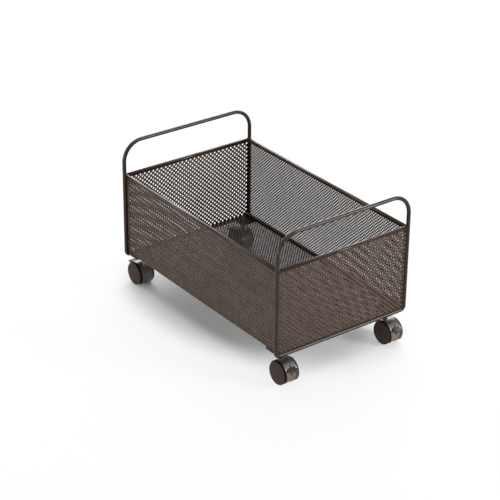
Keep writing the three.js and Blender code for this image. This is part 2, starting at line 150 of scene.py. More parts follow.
# Brake lever
LEVER_LOW, LEVER_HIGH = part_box("front_left_lever")
LEVER_TIP = LEVER_HIGH.x - AXLE.x
LEVER_HALF = (LEVER_HIGH.y - LEVER_LOW.y) / 2
LEVER_RISE = 14 * MM
LEVER_T = 2.8 * MM
TAB_ROOT = HOOD_R + 1 * MM
TAB_SLOPE = 0.6 * MM
TAB_BELLY = 0.6 * MM
TAB_CORNER = 1.6 * MM
SHOE_HALF = WINDOW_HALF - 2.2 * MM
ARM_HALF = 1 * MM
EYE_R = 2.7 * MM
TIP_ROUND = 0.9 * MM
SHOE_CREST = Vector((HOOD_R - 3 * MM, LEVER_RISE + 0.9 * MM))
SHOE_HEEL = Vector((HOOD_R - 4.6 * MM, LEVER_RISE + 0.5 * MM))
SHOE_TOE = Vector((HOOD_R - 1 * MM, LEVER_RISE - LEVER_T - 1.6 * MM))
SHOE_OVERLAP = 1 * MM  # how far the shoe reaches into the tab
LEVER_HOLE_R = 1.35 * MM

# Corner plates
PLATE_T = 2 * MM
PLATE_CLIP = 5 * MM  # cut off the inner corners
PLATE_LIP = 2 * MM
PLATE_ROUND = 1.5 * MM
PLATE_OUTER_ROUND = 0.8 * MM

# Edges and facets of turned, moulded and pressed pieces
EDGE_ROUND = 0.25 * MM
SHARP_EDGE = 35  # degrees, from which an edge is rounded
SMOOTH_LIMIT = 40  # degrees, from which an edge is shaded as a corner
CORNER_STEPS = 4
WINDOW_STEPS = 8
WHEEL_STEPS = 96
NUT_STEPS = 96
TURNED_STEPS = 48
ROD_STEPS = 32
EYE_STEP = 10  # degrees
ON_AXIS = 1e-7  # a smaller radius is a point on the axis

# Settings that the finishes share
WHITE = (1, 1, 1, 1)
BRONZE_TINT = (1.0, 0.93, 0.88, 1)
COAT_ROUGHNESS = 0.18
NOISE_LOW = 0.3  # the middle of a noise, which is stretched over a range
NOISE_HIGH = 0.7
BLOTCH_DETAIL = 4
GLOSS_DETAIL = 3
GLOSS_SCALE = 2.7  # times the blotches' scale
GRAIN_DETAIL = 2
GRAIN_STRENGTH = 0.5
MIX_SHARE, MIX_DARK, MIX_LIGHT, MIX_RESULT = 0, 6, 7, 2  # sockets of the mix node for colours


def srgb(red, green, blue):
    """A colour written as 0 to 255 screen values, as linear light."""
    def linear(value):
        share = value / 255
        return share / 12.92 if share <= 0.04045 else ((share + 0.055) / 1.055) ** 2.4

    return (linear(red), linear(green), linear(blue), 1.0)


# Materials


def add_node(tree, kind, links=(), **values):
    """A shader node with its settings; each link pairs one of its inputs with another node's output."""
    node = tree.nodes.new(kind)
    for name, value in values.items():
        setattr(node, name, value)
    for target, source in links:
        tree.links.new(source, node.inputs[target])
    return node


def noise(tree, scale, detail, place):
    node = add_node(tree, "ShaderNodeTexNoise", [("Vector", place)])
    node.inputs["Scale"].default_value = scale
    node.inputs["Detail"].default_value = detail
    return node.outputs[0]


def spread(tree, value, low, high):
    """Stretches the middle of a noise over the range low to high."""
    node = add_node(tree, "ShaderNodeMapRange", [("Value", value)])
    node.inputs["From Min"].default_value = NOISE_LOW
    node.inputs["From Max"].default_value = NOISE_HIGH
    node.inputs["To Min"].default_value = low
    node.inputs["To Max"].default_value = high
    return node.outputs[0]


def finish(
    name, dark, light, rough, blotch, grain, depth, metallic=0.0, specular=0.5, tint=WHITE, coat=0.0
):
    """Blotches between two tones, uneven gloss and a fine grain, mapped by the piece's own coordinates.

    rough is the range of roughness, blotch and grain are the scales of noises, and depth is the grain's.
    """
    material = bpy.data.materials.new(name)
    material.use_nodes = True
    tree = material.node_tree
    shader = tree.nodes["Principled BSDF"]
    place = add_node(tree, "ShaderNodeTexCoord").outputs["Object"]
    blotches = noise(tree, blotch, BLOTCH_DETAIL, place)
    tones = add_node(tree, "ShaderNodeMix", data_type="RGBA")
    tree.links.new(spread(tree, blotches, 0, 1), tones.inputs[MIX_SHARE])
    tones.inputs[MIX_DARK].default_value = dark
    tones.inputs[MIX_LIGHT].default_value = light
    tree.links.new(tones.outputs[MIX_RESULT], shader.inputs["Base Color"])
    gloss = noise(tree, blotch * GLOSS_SCALE, GLOSS_DETAIL, place)
    tree.links.new(spread(tree, gloss, *rough), shader.inputs["Roughness"])
    grains = noise(tree, grain, GRAIN_DETAIL, place)
    bump = add_node(tree, "ShaderNodeBump", [("Height", grains)])
    bump.inputs["Strength"].default_value = GRAIN_STRENGTH
    bump.inputs["Distance"].default_value = depth
    tree.links.new(bump.outputs[0], shader.inputs["Normal"])
    shader.inputs["Metallic"].default_value = metallic
    shader.inputs["Specular IOR Level"].default_value = specular
    shader.inputs["Specular Tint"].default_value = tint
    shader.inputs["Coat Weight"].default_value = coat
    shader.inputs["Coat Roughness"].default_value = COAT_ROUGHNESS
    return material


SHEET = dict(rough=(0.42, 0.52), blotch=60, grain=1100, depth=0.05 * MM, tint=BRONZE_TINT)
LOOKS = {
    "coated_tube": dict(
        dark=srgb(40, 22, 11), light=srgb(49, 29, 16), rough=(0.32, 0.4), blotch=45, grain=900,
        depth=0.02 * MM, specular=0.1, tint=BRONZE_TINT, coat=0.45,
    ),
    "coated_mesh": dict(dark=srgb(82, 68, 58), light=srgb(97, 81, 71), specular=0.15, **SHEET),
    # A darker copy of the mesh finish: painted shade on the long walls' inner faces
    "mesh_inner_painted_shade": dict(dark=srgb(52, 39, 30), light=srgb(64, 49, 39), specular=0.1, **SHEET),
    # Deeper painted shade on the holes' walls, beside the tubes on the inner faces, and on the whole
    # floor net
    "mesh_shade": dict(dark=srgb(32, 24, 18), light=srgb(42, 32, 25), specular=0.1, **SHEET),
    "bare_steel": dict(
        dark=srgb(140, 138, 132), light=srgb(178, 176, 170), rough=(0.28, 0.45), blotch=180, grain=1600,
        depth=0.02 * MM, metallic=1.0,
    ),
    "hood_plastic": dict(
        dark=srgb(98, 94, 92), light=srgb(110, 106, 104), rough=(0.3, 0.38), blotch=120, grain=2600,
        depth=0.002 * MM, metallic=0.65,
    ),
    "wheel_plastic": dict(
        dark=srgb(48, 31, 24), light=srgb(57, 39, 31), rough=(0.5, 0.62), blotch=150, grain=2200,
        depth=0.03 * MM, specular=0.2,
    ),
    "lever": dict(
        dark=srgb(66, 62, 60), light=srgb(78, 74, 71), rough=(0.5, 0.6), blotch=120, grain=2600,
        depth=0.02 * MM, specular=0.3,
    ),
    # Near black: painted shade in the disc's groove, along the hood's edges, in the hood's slot and on
    # the lever's arm
    "painted_recess_shade": dict(
        dark=srgb(16, 13, 12), light=srgb(22, 18, 16), rough=(0.6, 0.7), blotch=150, grain=2200,
        depth=0.02 * MM, specular=0.1,
    ),
    "tread": dict(
        dark=srgb(112, 98, 90), light=srgb(128, 114, 105), rough=(0.45, 0.55), blotch=150, grain=2200,
        depth=0.03 * MM, specular=0.4,
    ),
}
FINISHES = {name: finish(name, **look) for name, look in LOOKS.items()}


# Mesh building


def mesh_from(name, points, faces, smooth=True):
    mesh = bpy.data.meshes.new(name)
    mesh.from_pydata([tuple(point) for point in points], [], faces)
    mesh.validate()
    for polygon in mesh.polygons:
        polygon.use_smooth = smooth
    return mesh


def face_out(mesh):
    """Turns every face of a closed mesh outward."""
    shape = bmesh.new()
    shape.from_mesh(mesh)
    bmesh.ops.recalc_face_normals(shape, faces=shape.faces)
    shape.to_mesh(mesh)
    shape.free()
    return mesh


def merged(name, meshes):
    """One mesh that holds all of these, each still its own shell."""
    shape = bmesh.new()
    for mesh in meshes:
        shape.from_mesh(mesh)
    whole = bpy.data.meshes.new(name)
    shape.to_mesh(whole)
    shape.free()
    return whole


def put(name, mesh, body, slot, nodes, place=None):
    """Adds a piece that stands for these nodes on their body, with its own finish or its slot's."""
    piece = bpy.data.objects.new(name, mesh)
    bpy.context.scene.collection.objects.link(piece)
    if not mesh.materials:
        mesh.materials.append(FINISHES[slot])
    if place is not None:
        piece.matrix_world = place
    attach(piece, body)
    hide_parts(*nodes)
    return piece


def rounded(corners, steps=CORNER_STEPS, closed=False):
    """Points of an outline in two dimensions, from corners (x, y, radius) joined by arcs."""
    points = []
    count = len(corners)
    for i, (x, y, radius) in enumerate(corners):
        if radius <= 0 or (not closed and i in (0, count - 1)):
            points.append(Vector((x, y)))
            continue
        here = Vector((x, y))
        before = (here - Vector(corners[i - 1][:2])).normalized()
        after = (Vector(corners[(i + 1) % count][:2]) - here).normalized()
        turn = math.atan2(before.x * after.y - before.y * after.x, before.dot(after))
        start = here - before * (radius * math.tan(abs(turn) / 2))
        side = math.copysign(1, turn)
        centre = start + Vector((-before.y, before.x)) * (side * radius)
        for step in range(steps + 1):
            angle = turn * step / steps
            arm = start - centre
            arm.rotate(Matrix.Rotation(angle, 2))
            points.append(centre + arm)
    return points


def arc(radius, start, end, step):
    """Points of an arc about the origin, in degrees."""
    count = max(2, round(abs(end - start) / step))
    angles = [math.radians(start + (end - start) * i / count) for i in range(count + 1)]
    return [Vector((radius * math.cos(angle), radius * math.sin(angle))) for angle in angles]


def circle(radius, step):
    """Points of a whole circle about the origin, a step in degrees apart."""
    return arc(radius, 0, 360, step)[:-1]


def sweep(name, stations, sides, closed):
    """A round skin through stations (centre, side, up, radius), with flat ends where it is open."""
    points = []
    for centre, side, up, radius in stations:
        for k in range(sides):
            angle = 2 * math.pi * k / sides
            points.append(centre + radius * (math.cos(angle) * side + math.sin(angle) * up))
    count = len(stations)
    faces = []
    for i in range(count if closed else count - 1):
        a = i * sides
        b = (i + 1) % count * sides
        for k in range(sides):
            following = (k + 1) % sides
            faces.append((a + k, a + following, b + following, b + k))
    if not closed:
        faces.append(tuple(range(sides)))
        faces.append(tuple(range((count - 1) * sides, count * sides)))
    return face_out(mesh_from(name, points, faces))


def lathe(name, profile, steps):
    """A skin turned about Z from points (radius, height) that start and end on the axis."""
    points = []
    rings = []
    for radius, height in profile:
        if radius < ON_AXIS:
            rings.append([len(points)] * steps)
            points.append(Vector((0, 0, height)))
            continue
        rings.append(list(range(len(points), len(points) + steps)))
        for k in range(steps):
            angle = 2 * math.pi * k / steps
            points.append(Vector((radius * math.cos(angle), radius * math.sin(angle), height)))
    faces = []
    for lower, upper in zip(rings, rings[1:]):
        for k in range(steps):
            following = (k + 1) % steps
            face = (lower[k], lower[following], upper[following], upper[k])
            faces.append(tuple(dict.fromkeys(face)))
    return face_out(mesh_from(name, points, faces))


def drum(name, radius, low, high, steps):
    """A plain round bar about Z, to join or cut with."""
    return lathe(name, [(0, low), (radius, low), (radius, high), (0, high)], steps)


def prism(name, outline, low, high, upright=False):
    """A prism along Y with its outline in X and Z, or an upright one with its outline in X and Y."""
    count = len(outline)
    points = []
    for level in (low, high):
        points += [Vector((p.x, p.y, level) if upright else (p.x, level, p.y)) for p in outline]
    faces = [tuple(range(count)), tuple(range(count, 2 * count))]
    for k in range(count):
        following = (k + 1) % count
        faces.append((k, following, count + following, count + k))
    return face_out(mesh_from(name, points, faces, smooth=False))


def block(name, low, high):
    outline = [
        Vector((low[0], low[2])),
        Vector((high[0], low[2])),
        Vector((high[0], high[2])),
        Vector((low[0], high[2])),
    ]
    return prism(name, outline, low[1], high[1])


def combine(name, start, operations, round_edges=0.0, steps=2):
    """Joins, cuts or crosses meshes in order, and can round the sharp edges that are left."""
    scene = bpy.context.scene
    base = bpy.data.objects.new(name, start)
    scene.collection.objects.link(base)
    tools = []
    for operation, mesh in operations:
        tool = bpy.data.objects.new(name + "_tool", mesh)
        scene.collection.objects.link(tool)
        tools.append(tool)
        modifier = base.modifiers.new("combine", "BOOLEAN")
        modifier.operation = operation
        modifier.solver = "EXACT"
        modifier.object = tool
    if round_edges > 0:
        modifier = base.modifiers.new("edges", "BEVEL")
        modifier.width = round_edges
        modifier.segments = steps
        modifier.limit_method = "ANGLE"
        modifier.angle_limit = math.radians(SHARP_EDGE)
        modifier.use_clamp_overlap = True
    bpy.context.view_layer.update()
    depsgraph = bpy.context.evaluated_depsgraph_get()
    whole = bpy.data.meshes.new_from_object(base.evaluated_get(depsgraph))
    whole.name = name
    whole.materials.clear()
    for extra in [base] + tools:
        bpy.data.objects.remove(extra)
    soft_edges(whole)
    return whole


def soft_edges(mesh):
    """Smooth shading, but for the edges that turn by more than SMOOTH_LIMIT."""
    shape = bmesh.new()
    shape.from_mesh(mesh)
    for face in shape.faces:
        face.smooth = True
    for edge in shape.edges:
        edge.smooth = edge.calc_face_angle(math.pi) < math.radians(SMOOTH_LIMIT)
    shape.to_mesh(mesh)
    shape.free()


def half_width(mesh, polygon):
    """How far a face reaches from the middle, across the caster."""
    return max(abs(mesh.vertices[corner].co.y) for corner in polygon.vertices)


def split_across(mesh, offset):
    """Parts the faces along the planes at offset on both sides of the middle."""
    shape = bmesh.new()
    shape.from_mesh(mesh)
    for sign in (1, -1):
        everything = shape.verts[:] + shape.edges[:] + shape.faces[:]
        place = (0, sign * offset, 0)
        bmesh.ops.bisect_plane(shape, geom=everything, plane_co=place, plane_no=(0, 1, 0))
    shape.to_mesh(mesh)
    shape.free()


def paint(mesh, looks, choose):
    """Gives a mesh several finishes, of which choose names the one for each face."""
    for look in looks:
        mesh.materials.append(FINISHES[look])
    for polygon in mesh.polygons:
        polygon.material_index = looks.index(choose(polygon))


# Frame tubes


def loop_mesh(x):
    """One closed tube with wide upper bends, which are the handle's, and tight lower ones."""
    corners = (
        (1, BAR_Z + FOOT_BEND, FOOT_BEND, -90, FOOT_STEPS),
        (1, HANDLE_Z - HANDLE_BEND, HANDLE_BEND, 0, HANDLE_STEPS),
        (-1, HANDLE_Z - HANDLE_BEND, HANDLE_BEND, 90, HANDLE_STEPS),
        (-1, BAR_Z + FOOT_BEND, FOOT_BEND, 180, FOOT_STEPS),
    )
    stations = []
    for side, z, bend, start, steps in corners:
        centre = Vector((x, side * (LOOP_Y - bend), z))
        for step in range(steps + 1):
            angle = math.radians(start + 90 * step / steps)
            outward = Vector((0, math.cos(angle), math.sin(angle)))
            stations.append((centre + bend * outward, Vector((1, 0, 0)), outward, TUBE_R))
    return sweep("loop", stations, TUBE_SIDES, True)


def straight(name, start, end):
    """A straight tube between two points on a horizontal line."""
    along = (end - start).normalized()
    up = Vector((0, 0, 1))
    side = along.cross(up)
    return sweep(name, [(point, side, up, TUBE_R) for point in (start, end)], TUBE_SIDES, False)


def weld(name, centre, along, meet):
    """A bead round the end of a tube; meet(across, rise) is how far short of centre its skin ends."""
    up = Vector((0, 0, 1))
    side = along.cross(up)
    path = []
    for k in range(WELD_STEPS):
        angle = 2 * math.pi * k / WELD_STEPS
        across = TUBE_R * math.cos(angle)
        rise = TUBE_R * math.sin(angle)
        path.append(centre - along * meet(across, rise) + side * across + up * rise)
    stations = []
    for k, point in enumerate(path):
        forward = (path[(k + 1) % WELD_STEPS] - path[k - 1]).normalized()
        outward = (point - centre).cross(forward).normalized()
        stations.append((point, outward, forward.cross(outward), WELD_R))
    return sweep(name, stations, WELD_SIDES, True)


def round_gap(offset):
    """Half the chord of a tube's section at that offset from its centre."""
    return math.sqrt(max(0.0, TUBE_R ** 2 - offset ** 2))


def crossbar_mesh(x):
    low = Vector((x, -LOOP_Y, RIM_Z))
    high = Vector((x, LOOP_Y, RIM_Z))
    beads = [
        weld("bead", end, Vector((0, sign, 0)), lambda across, rise: round_gap(across))
        for end, sign in ((low, -1), (high, 1))
    ]
    return merged("crossbar", [straight("bar", low, high)] + beads)


def top_rail_mesh(y):
    low = Vector((-LOOP_X, y, RIM_Z))
    high = Vector((LOOP_X, y, RIM_Z))
    inset = LOOP_Y - abs(y)
    beads = []
    for end, sign in ((low, -1), (high, 1)):
        # The sign that turns the bead's own sideways direction into one away from the basket
        outward = math.copysign(1, y) * (-sign)

        def meet(across, rise, outward=outward):
            return max(round_gap(outward * across - inset), round_gap(rise))

        beads.append(weld("bead", end, Vector((sign, 0, 0)), meet))
    return merged("top_rail", [straight("bar", low, high)] + beads)


def build_tubes():
    for end, ex in ENDS:
        loop = loop_mesh(ex * LOOP_X)
        put(f"{end}_loop_tube", loop, "frame", "coated_tube", [f"{end}_end_loop"])
        bar = crossbar_mesh(ex * LOOP_X)
        put(f"{end}_crossbar_tube", bar, "frame", "coated_tube", [f"{end}_crossbar"])
    for side, sy in SIDES:
        rail = top_rail_mesh(sy * TOP_RAIL_Y)
        put(f"{side}_top_rail_tube", rail, "frame", "coated_tube", [f"{side}_top_rail"])
        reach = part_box(f"{side}_bottom_rail")[1].x
        ends = [Vector((sign * reach, sy * BOTTOM_RAIL.y, BOTTOM_RAIL.z)) for sign in (-1, 1)]
        rail = straight("bottom_rail", *ends)
        put(f"{side}_bottom_rail_tube", rail, "frame", "coated_tube", [f"{side}_bottom_rail"])


# Mesh panels


def hole_field(low, high, margin, cell):
    """First hole's centre, step between staggered columns and their even count, along one direction."""
    field = high - low - 2 * margin
    count = 2 * round(field / cell)
    return low + margin, field / count, count


def net_mesh(name, low, high, edges, cell, hole, place):
    """A sheet with staggered diamond holes whose strands are rounded, placed by a matrix.

    Holes lie where column + row is even. A ring of virtual holes outside them is drawn in to the border,
    one point each, so that the same rules close the sheet's edge.
    """
    first_x, step_x, columns = hole_field(low[0], high[0], edges[0] + hole, cell[0])
    first_y, step_y, rows = hole_field(low[1], high[1], edges[1] + hole, cell[1])
    tips = ((1, 0), (0, 1), (-1, 0), (0, -1))
    east, north, west, south = range(4)
    levels = ((NET_T / 2, hole + NET_ROUND), (0, hole), (-NET_T / 2, hole + NET_ROUND))
    top, _, bottom = range(3)
    points = []
    faces = []
    index = {}

    def border(count, i, first, step, span):
        if i < 0:
            return span[0]
        if i > count:
            return span[1]
        return first + step * i

    for i in range(-1, columns + 2):
        for j in range(-1, rows + 2):
            if (i + j) % 2:
                continue
            real = 0 <= i <= columns and 0 <= j <= rows
            x = border(columns, i, first_x, step_x, (low[0], high[0]))
            y = border(rows, j, first_y, step_y, (low[1], high[1]))
            for level, (z, half) in enumerate(levels):
                for tip, (tx, ty) in enumerate(tips):
                    if real or tip == east:
                        index[i, j, level, tip] = len(points)
                        reach = half if real else 0
                        points.append(place @ Vector((x + tx * reach, y + ty * reach, z)))
                    else:
                        index[i, j, level, tip] = index[i, j, level, east]

    def face(level, *corners):
        ring = [index[i, j, level, tip] for i, j, tip in corners if (i, j, level, tip) in index]
        ring = list(dict.fromkeys(ring))
        if len(ring) > 2:
            faces.append(tuple(ring if level == top else reversed(ring)))

    for i in range(-1, columns + 2):
        for j in range(-1, rows + 2):
            for level in (top, bottom):
                if (i + j) % 2:
                    face(level, (i + 1, j, west), (i, j + 1, south), (i - 1, j, east), (i, j - 1, north))
                    continue
                if (i + 1, j + 1, level, east) in index:
                    right = (i + 1, j + 1)
                    face(level, (i, j, east), (*right, south), (*right, west), (i, j, north))
                if (i - 1, j + 1, level, east) in index:
                    left = (i - 1, j + 1)
                    face(level, (i, j, west), (i, j, north), (*left, east), (*left, south))
            if (i + j) % 2 == 0 and 0 <= i <= columns and 0 <= j <= rows:
                for tip in range(4):
                    following = (tip + 1) % 4
                    for level in (0, 1):
                        faces.append((
                            index[i, j, level, tip],
                            index[i, j, level, following],
                            index[i, j, level + 1, following],
                            index[i, j, level + 1, tip],
                        ))

    around = [(i, -1) for i in range(-1, columns + 1, 2)]
    around += [(columns + 1, j) for j in range(-1, rows + 1, 2)]
    around += [(i, rows + 1) for i in range(columns + 1, -1, -2)]
    around += [(-1, j) for j in range(rows + 1, -1, -2)]
    for here, following in zip(around, around[1:] + around[:1]):
        faces.append((
            index[(*here, bottom, east)],
            index[(*following, bottom, east)],
            index[(*following, top, east)],
            index[(*here, top, east)],
        ))
    return mesh_from(name, points, faces)


def paint_wall(mesh, low, high, facing, inside):
    """Finishes of a wall: outside, inside (painted shade on the long walls), and painted shade in holes
    and by the tubes inside.
    """
    across = 1 if facing.x else 0

    def look(polygon):
        outward = polygon.normal.dot(facing)
        if outward > FLAT:
            return "coated_mesh"
        spot = polygon.center
        from_tube = min(spot[across] - low[across], high[across] - spot[across], spot.z - low.z)
        if outward < -FLAT and from_tube >= EDGE_SHADE:
            return inside
        return "mesh_shade"

    paint(mesh, list(dict.fromkeys(("coated_mesh", inside, "mesh_shade"))), look)


def build_nets():
    thin = (NET_EDGE, NET_EDGE)
    for end, ex in ENDS:
        node = f"{end}_mesh"
        low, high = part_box(node)
        place = Matrix(((0, 0, 1, middle(node).x), (1, 0, 0, 0), (0, 1, 0, 0), (0, 0, 0, 1)))
        start = (low.y - TUCK, low.z - TUCK)
        stop = (high.y + TUCK, high.z + TUCK)
        mesh = net_mesh(f"{end}_net", start, stop, thin, END_CELL, END_HOLE, place)
        paint_wall(mesh, low, high, Vector((ex, 0, 0)), "coated_mesh")
        put(f"{end}_net", mesh, "frame", "coated_mesh", [node])
    for side, sy in SIDES:
        node = f"{side}_mesh"
        low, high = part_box(node)
        place = Matrix(((1, 0, 0, 0), (0, 0, -1, middle(node).y), (0, 1, 0, 0), (0, 0, 0, 1)))
        start = (low.x - TUCK, low.z)
        stop = (high.x + TUCK, high.z + TUCK)
        edges = (NET_STRIP, NET_EDGE)
        mesh = net_mesh(f"{side}_net", start, stop, edges, SIDE_CELL, SIDE_HOLE, place)
        # The long walls' inner faces take a darker copy of the mesh finish: painted shade
        paint_wall(mesh, low, high, Vector((0, sy, 0)), "mesh_inner_painted_shade")
        put(f"{side}_net", mesh, "frame", "coated_mesh", [node])
    low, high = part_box("floor_mesh")
    place = Matrix.Translation((0, 0, middle("floor_mesh").z))
    start = (low.x, low.y - FLOOR_TUCK)
    stop = (high.x, high.y + FLOOR_TUCK)
    mesh = net_mesh("floor_net", start, stop, thin, SIDE_CELL, FLOOR_HOLE, place)
    # The floor net is wholly in the deep painted shade finish
    mesh.materials.append(FINISHES["mesh_shade"])
    put("floor_net", mesh, "frame", "coated_mesh", ["floor_mesh"])


# Casters


def wheel_mesh():
    """A wheel on the +Y side: an inner tread, a deep groove and a thin outer disc with a rounded rim."""
    flange = CASTER_HALF - FLANGE_T
    groove = flange - GROOVE_W
    floor_r = WHEEL_R - GROOVE_DEPTH
    corners = [
        (0, CASTER_HALF - BORE_END, 0),
        (BORE_R, CASTER_HALF - BORE_END, 0),
        (BORE_R, WHEEL_INNER, GROOVE_ROUND),
        (WHEEL_R, WHEEL_INNER, TREAD_ROUND),
        (WHEEL_R, HOOD_HALF - SHADOW_BAND, 0),
        (WHEEL_R, groove, GROOVE_ROUND),
        (floor_r, groove, GROOVE_ROUND),
        (floor_r, flange, GROOVE_ROUND),
        (WHEEL_R, flange, GROOVE_ROUND),
        (WHEEL_R, CASTER_HALF, RIM_ROUND),
        (0, CASTER_HALF, 0),
    ]
    mesh = lathe("wheel", rounded(corners), WHEEL_STEPS)
    mesh.transform(Matrix.Rotation(-math.pi / 2, 4, "X"))
    soft_edges(mesh)

    # Painted shade: the groove and the band of tread beside it are near black
    def look(polygon):
        spot = polygon.center
        sunk = math.hypot(spot.x, spot.z) < WHEEL_R - GROOVE_ROUND
        in_groove = sunk and spot.y < flange + GROOVE_ROUND
        if HOOD_HALF - SHADOW_BAND < spot.y and (in_groove or spot.y < groove):
            return "painted_recess_shade"
        return "tread" if spot.y < groove else "wheel_plastic"

    paint(mesh, ("wheel_plastic", "tread", "painted_recess_shade"), look)
    return mesh


def rod_mesh(name, radius, half, chamfer):
    """A shaft along Y with chamfered ends."""
    profile = [(0, -half), (radius - chamfer, -half), (radius, chamfer - half)]
    profile += [(radius, half - chamfer), (radius - chamfer, half), (0, half)]
    mesh = lathe(name, profile, ROD_STEPS)
    mesh.transform(Matrix.Rotation(-math.pi / 2, 4, "X"))
    soft_edges(mesh)
    return mesh


def window_mesh():
    """The cut through the hood's lever side, with rounded upper corners."""
    deep = 2 * WHEEL_R
    outline = rounded([
        (-WINDOW_HALF, -deep, 0),
        (WINDOW_HALF, -deep, 0),
        (WINDOW_HALF, WINDOW_TOP, WINDOW_CORNER),
        (-WINDOW_HALF, WINDOW_TOP, WINDOW_CORNER),
    ], steps=WINDOW_STEPS, closed=True)
    mesh = prism("window", outline, -deep, -BOSS_R)
    mesh.transform(Matrix.Rotation(math.pi / 2, 4, "Z"))
    return mesh


def hood_mesh():
    """A drum-shaped shell over the treads, a web between the wheels and a socket for the stem."""
    far = CASTER_HALF * 2
    sector = arc(HOOD_R, HOOD_FROM, HOOD_TO, HOOD_STEP) + [Vector((0, 0))]
    boss = drum("boss", BOSS_R, 0, BOSS_TOP, TURNED_STEPS)
    boss.transform(Matrix.Translation((-TRAIL, 0, 0)))
    room = circle(HOOD_R - HOOD_WALL, HOOD_STEP)
    foot = math.degrees(math.asin(WEB_LOW / WEB_R))
    web = arc(WEB_R, foot, 180 - foot, HOOD_STEP)
    pivot = drum("pivot", PIVOT_R + RUN, BOSS_TOP - PIVOT_LENGTH, 2 * BOSS_TOP, ROD_STEPS)
    pivot.transform(Matrix.Translation((-TRAIL, 0, 0)))
    slot_from = PIN_X + EYE_ROOM
    slot = block("slot", (slot_from - RUN, -SLOT_HALF, SLOT_LOW), (2 * WHEEL_R, SLOT_HALF, SLOT_TOP))
    eye = block(
        "eye",
        (PIN_X - EYE_ROOM, -SLOT_HALF, PIN_Z - EYE_ROOM),
        (slot_from, SLOT_HALF, PIN_Z + EYE_ROOM),
    )
    mesh = combine("hood", prism("sector", sector, -HOOD_HALF, HOOD_HALF), [
        ("UNION", boss),
        ("DIFFERENCE", prism("room", room, WEB_HALF, far)),
        ("DIFFERENCE", prism("room", room, -far, -WEB_HALF)),
        ("DIFFERENCE", window_mesh()),
        ("UNION", prism("web", web, -WEB_HALF, WEB_HALF)),
        ("DIFFERENCE", pivot),
        ("DIFFERENCE", slot),
        ("DIFFERENCE", eye),
    ], EDGE_ROUND)
    split_across(mesh, HOOD_HALF - SHADOW_BAND)

    # Painted shade: near black along the hood's edges and on the slot's faces
    def look(polygon):
        spot = polygon.center
        in_web = abs(spot.y) < WEB_HALF + RUN and math.hypot(spot.x, spot.z) < WEB_R + RUN
        in_slot = half_width(mesh, polygon) < SLOT_HALF + RUN and spot.x > slot_from
        if abs(spot.y) > HOOD_HALF - SHADOW_BAND or in_slot:
            return "painted_recess_shade"
        return "tread" if in_web and spot.z < WINDOW_TOP else "hood_plastic"

    paint(mesh, ("hood_plastic", "tread", "painted_recess_shade"), look)
    return mesh


def lever_mesh():
    """A wide tab outside the hood, a shoe that fills the window, and an arm with an eye on its pin."""
    low = LEVER_RISE - LEVER_T
    tab = rounded([
        (TAB_ROOT, low - TAB_BELLY, 0),
        (LEVER_TIP, low, TIP_ROUND),
        (LEVER_TIP, LEVER_RISE, TIP_ROUND),
        (TAB_ROOT, LEVER_RISE + TAB_SLOPE, 0),
    ], closed=True)
    plan = rounded([
        (TAB_ROOT - TAB_CORNER, -LEVER_HALF, 0),
        (LEVER_TIP, -LEVER_HALF, TAB_CORNER),
        (LEVER_TIP, LEVER_HALF, TAB_CORNER),
        (TAB_ROOT - TAB_CORNER, LEVER_HALF, 0),
    ], closed=True)
    shoe = [
        SHOE_HEEL,
        SHOE_TOE,
        Vector((TAB_ROOT, low - TAB_BELLY)),
        Vector((TAB_ROOT + SHOE_OVERLAP, LEVER_RISE)),
        Vector((TAB_ROOT, LEVER_RISE + TAB_SLOPE)),
        SHOE_CREST,
    ]
    arm = [
        Vector((PIN_X, PIN_Z - EYE_R)),
        SHOE_TOE + Vector((0, TAB_BELLY)),
        SHOE_CREST - Vector((0, TAB_BELLY)),
        Vector((PIN_X, PIN_Z + EYE_R)),
    ]
    shift = Vector((PIN_X, PIN_Z))
    eye = [point + shift for point in circle(EYE_R, EYE_STEP)]
    hole = [point + shift for point in circle(LEVER_HOLE_R, EYE_STEP)]
    mesh = combine("lever", prism("tab", tab, -LEVER_HALF, LEVER_HALF), [
        ("INTERSECT", prism("plan", plan, -WHEEL_R, WHEEL_R, upright=True)),
        ("UNION", prism("shoe", shoe, -SHOE_HALF, SHOE_HALF)),
        ("UNION", prism("arm", arm, -ARM_HALF, ARM_HALF)),
        ("UNION", prism("eye", eye, -ARM_HALF, ARM_HALF)),
        ("DIFFERENCE", prism("hole", hole, -WHEEL_R, WHEEL_R)),
    ], EDGE_ROUND)

    # Painted shade: the arm inside the hood is near black
    def look(polygon):
        in_arm = half_width(mesh, polygon) < ARM_HALF + RUN and polygon.center.x < SHOE_TOE.x
        return "painted_recess_shade" if in_arm else "lever"

    paint(mesh, ("lever", "painted_recess_shade"), look)
    return mesh


def stem_mesh():
    """A turned steel stem: pivot in the hood's socket, thick neck, and a stud through nut and plate."""
    low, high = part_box("front_left_stem")
    neck_low = low.z + PIVOT_LENGTH
    neck_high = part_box("front_left_nut")[0].z - NECK_GAP
    profile = rounded([
        (0, low.z, 0),
        (PIVOT_R, low.z, STEM_ROUND),
        (PIVOT_R, neck_low, 0),
        (BOSS_R, neck_low, STEM_ROUND),
        (BOSS_R, neck_high, STEM_ROUND),
        (STUD_R, neck_high, 0),
        (STUD_R, high.z, STEM_ROUND),
        (0, high.z, 0),
    ])
    mesh = lathe("stem", profile, TURNED_STEPS)
    soft_edges(mesh)
    return mesh


def nut_mesh():
    """A hexagon nut whose corners are turned down above and below."""
    low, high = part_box("front_left_nut")
    corner = (high.x - low.x) / 2
    height = high.z - low.z
    blank = prism("hexagon", circle(corner, 360 / NUT_SIDES), 0, height, upright=True)
    face_r = corner * math.cos(math.pi / NUT_SIDES) - NUT_FACE
    barrel = lathe("barrel", [
        (0, 0),
        (face_r, 0),
        (corner, NUT_DROP),
        (corner, height - NUT_DROP),
        (face_r, height),
        (0, height),
    ], NUT_STEPS)
    hole = drum("hole", STUD_HOLE_R, -height, 2 * height, TURNED_STEPS)
    return combine("nut", blank, [("INTERSECT", barrel), ("DIFFERENCE", hole)])


